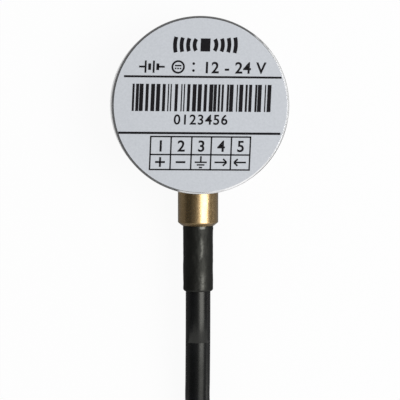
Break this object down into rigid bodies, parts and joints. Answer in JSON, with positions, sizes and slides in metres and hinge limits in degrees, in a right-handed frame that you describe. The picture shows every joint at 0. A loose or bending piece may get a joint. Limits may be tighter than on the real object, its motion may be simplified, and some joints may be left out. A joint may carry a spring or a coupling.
{
  "type": "ultrasonic level sensor",
  "caption": "Round flat metal puck that senses liquid level through a tank wall by ultrasound, with a brass cable outlet, heat-shrink strain relief and a stripped multi-core cable.",
  "frame": {"origin": "centre of the flat sensing face, which lies on the floor", "axes": "+Z from the sensing face towards the labelled back, -Y the way the cable leaves, +X to the right of the label as it is read"},
  "size_m": [0.0587, 0.2509, 0.0297],
  "materials": {
    "housing_aluminium": "polished",
    "label_film": "satin",
    "window_resin": "matte",
    "piezo_ceramic": "matte",
    "backing_composite": "matte",
    "nitrile_rubber": "matte",
    "potting_resin": "gloss",
    "spacer_acetal": "satin",
    "board_fibreglass": "satin",
    "chip_epoxy": "matte",
    "crystal_can": "satin",
    "passive_ceramic": "satin",
    "ferrite": "matte",
    "capacitor_can": "satin",
    "solder_tin": "polished",
    "silicone_lead": "matte",
    "ferrule_brass": "polished",
    "sleeve_polyolefin": "satin",
    "cable_jacket_pvc": "satin",
    "tie_nylon": "satin",
    "red_pvc": "satin",
    "black_pvc": "satin",
    "brown_pvc": "satin",
    "yellow_pvc": "satin",
    "blue_pvc": "satin"
  },
  "bodies": {
    "root": {"housing": "housing_aluminium", "label": "label_film", "acoustic_window": "window_resin", "piezo_disc": "piezo_ceramic", "backing_disc": "backing_composite", "centring_ring": "nitrile_rubber", "transducer_potting": "potting_resin", "board_spacer": "spacer_acetal", "circuit_board": "board_fibreglass", "microcontroller": "chip_epoxy", "line_transceiver": "chip_epoxy", "voltage_regulator": "chip_epoxy", "crystal": "crystal_can", "chip_passives": "passive_ceramic", "drive_transformer": "ferrite", "buck_inductor": "ferrite", "bulk_capacitor": "capacitor_can", "surge_diode": "chip_epoxy", "piezo_leads": "silicone_lead", "solder_joints": "solder_tin", "red_inner_core": "red_pvc", "black_inner_core": "black_pvc", "brown_inner_core": "brown_pvc", "yellow_inner_core": "yellow_pvc", "blue_inner_core": "blue_pvc", "cable_ferrule": "ferrule_brass", "seal_washer": "nitrile_rubber", "shrink_sleeve": "sleeve_polyolefin", "cable_lead": "cable_jacket_pvc", "cable_hank": "cable_jacket_pvc", "hank_ties": "tie_nylon", "red_core": "red_pvc", "black_core": "black_pvc", "brown_core": "brown_pvc", "yellow_core": "yellow_pvc", "blue_core": "blue_pvc", "tinned_ends": "solder_tin"}
  },
  "joints": []
}
